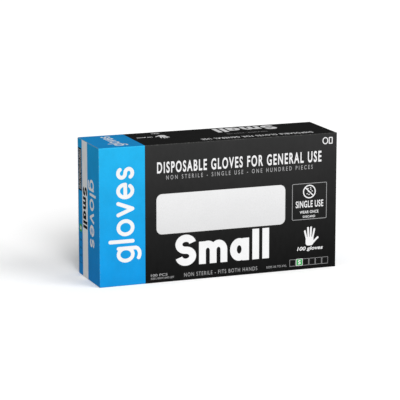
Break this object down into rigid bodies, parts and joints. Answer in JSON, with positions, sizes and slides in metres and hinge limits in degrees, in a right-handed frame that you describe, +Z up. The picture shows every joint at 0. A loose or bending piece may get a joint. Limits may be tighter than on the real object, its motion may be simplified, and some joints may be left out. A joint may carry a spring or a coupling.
{
  "type": "glove box",
  "caption": "Paperboard dispensing carton of flat black disposable gloves, with a tear-out window panel and tuck-in end flaps.",
  "frame": {"origin": "centre of the carton's footprint, on the surface it stands on", "axes": "+X along the carton, -Y out of the face with the dispensing window, +Z up"},
  "size_m": [0.24, 0.064, 0.132],
  "materials": {
    "printed_board": "black offset print under a satin varnish on coated board",
    "blue_board": "cyan-blue offset print under a satin varnish on coated board",
    "white_board": "unprinted clay-coated white board",
    "plain_board": "uncoated grey inside of recycled board",
    "dried_adhesive": "dried packaging adhesive",
    "nitrile": "matt black textured nitrile film"
  },
  "bodies": {
    "carton": {"front_panel": "printed_board", "top_panel": "printed_board", "back_panel": "printed_board", "bottom_panel": "printed_board", "glue_flap": "plain_board", "seam_glue": "dried_adhesive", "top_glove": "nitrile", "glove_layer_01": "nitrile", "glove_layer_02": "nitrile", "glove_layer_03": "nitrile", "glove_layer_04": "nitrile", "glove_layer_05": "nitrile", "glove_layer_06": "nitrile", "glove_layer_07": "nitrile", "glove_layer_08": "nitrile", "glove_layer_09": "nitrile", "glove_layer_10": "nitrile", "glove_layer_11": "nitrile"},
    "tear_out": {"tear_out_panel": "white_board", "perforation_nicks": "plain_board"},
    "left_closure": {"left_closure": "blue_board"},
    "left_tongue": {"left_tuck_tongue": "plain_board"},
    "left_upper_dust_flap": {"left_upper_dust_flap": "plain_board"},
    "left_lower_dust_flap": {"left_lower_dust_flap": "plain_board"},
    "right_closure": {"right_closure": "printed_board"},
    "right_tongue": {"right_tuck_tongue": "plain_board"},
    "right_upper_dust_flap": {"right_upper_dust_flap": "plain_board"},
    "right_lower_dust_flap": {"right_lower_dust_flap": "plain_board"}
  },
  "joints": [
    {"name": "tear_out_pull", "type": "slide", "parent": "carton", "child": "tear_out", "axis": [0, -1, 0], "range_m": [0, 0.06]},
    {"name": "left_closure_hinge", "type": "hinge", "parent": "carton", "child": "left_closure", "pos_m": [-0.11975, -0.03175, 0.066], "axis": [0, 0, 1], "range_deg": [0, 150]},
    {"name": "left_tongue_crease", "type": "hinge", "parent": "left_closure", "child": "left_tongue", "pos_m": [-0.11975, 0.03115, 0.066], "axis": [0, 0, 1], "range_deg": [0, 18]},
    {"name": "left_upper_dust_crease", "type": "hinge", "parent": "carton", "child": "left_upper_dust_flap", "pos_m": [-0.1191, 0, 0.13175], "axis": [0, 1, 0], "range_deg": [0, 90]},
    {"name": "left_lower_dust_crease", "type": "hinge", "parent": "carton", "child": "left_lower_dust_flap", "pos_m": [-0.1191, 0, 0.00025], "axis": [0, -1, 0], "range_deg": [0, 90]},
    {"name": "right_closure_hinge", "type": "hinge", "parent": "carton", "child": "right_closure", "pos_m": [0.11975, -0.03175, 0.066], "axis": [0, 0, -1], "range_deg": [0, 150]},
    {"name": "right_tongue_crease", "type": "hinge", "parent": "right_closure", "child": "right_tongue", "pos_m": [0.11975, 0.03115, 0.066], "axis": [0, 0, -1], "range_deg": [0, 18]},
    {"name": "right_upper_dust_crease", "type": "hinge", "parent": "carton", "child": "right_upper_dust_flap", "pos_m": [0.1191, 0, 0.13175], "axis": [0, -1, 0], "range_deg": [0, 90]},
    {"name": "right_lower_dust_crease", "type": "hinge", "parent": "carton", "child": "right_lower_dust_flap", "pos_m": [0.1191, 0, 0.00025], "axis": [0, 1, 0], "range_deg": [0, 90]}
  ],
  "couplings": [
    {"joint": "left_tongue_crease", "follows": "left_closure_hinge", "ratio": 0.12},
    {"joint": "left_upper_dust_crease", "follows": "left_closure_hinge", "ratio": 0.6},
    {"joint": "left_lower_dust_crease", "follows": "left_closure_hinge", "ratio": 0.6},
    {"joint": "right_tongue_crease", "follows": "right_closure_hinge", "ratio": 0.12},
    {"joint": "right_upper_dust_crease", "follows": "right_closure_hinge", "ratio": 0.6},
    {"joint": "right_lower_dust_crease", "follows": "right_closure_hinge", "ratio": 0.6}
  ]
}
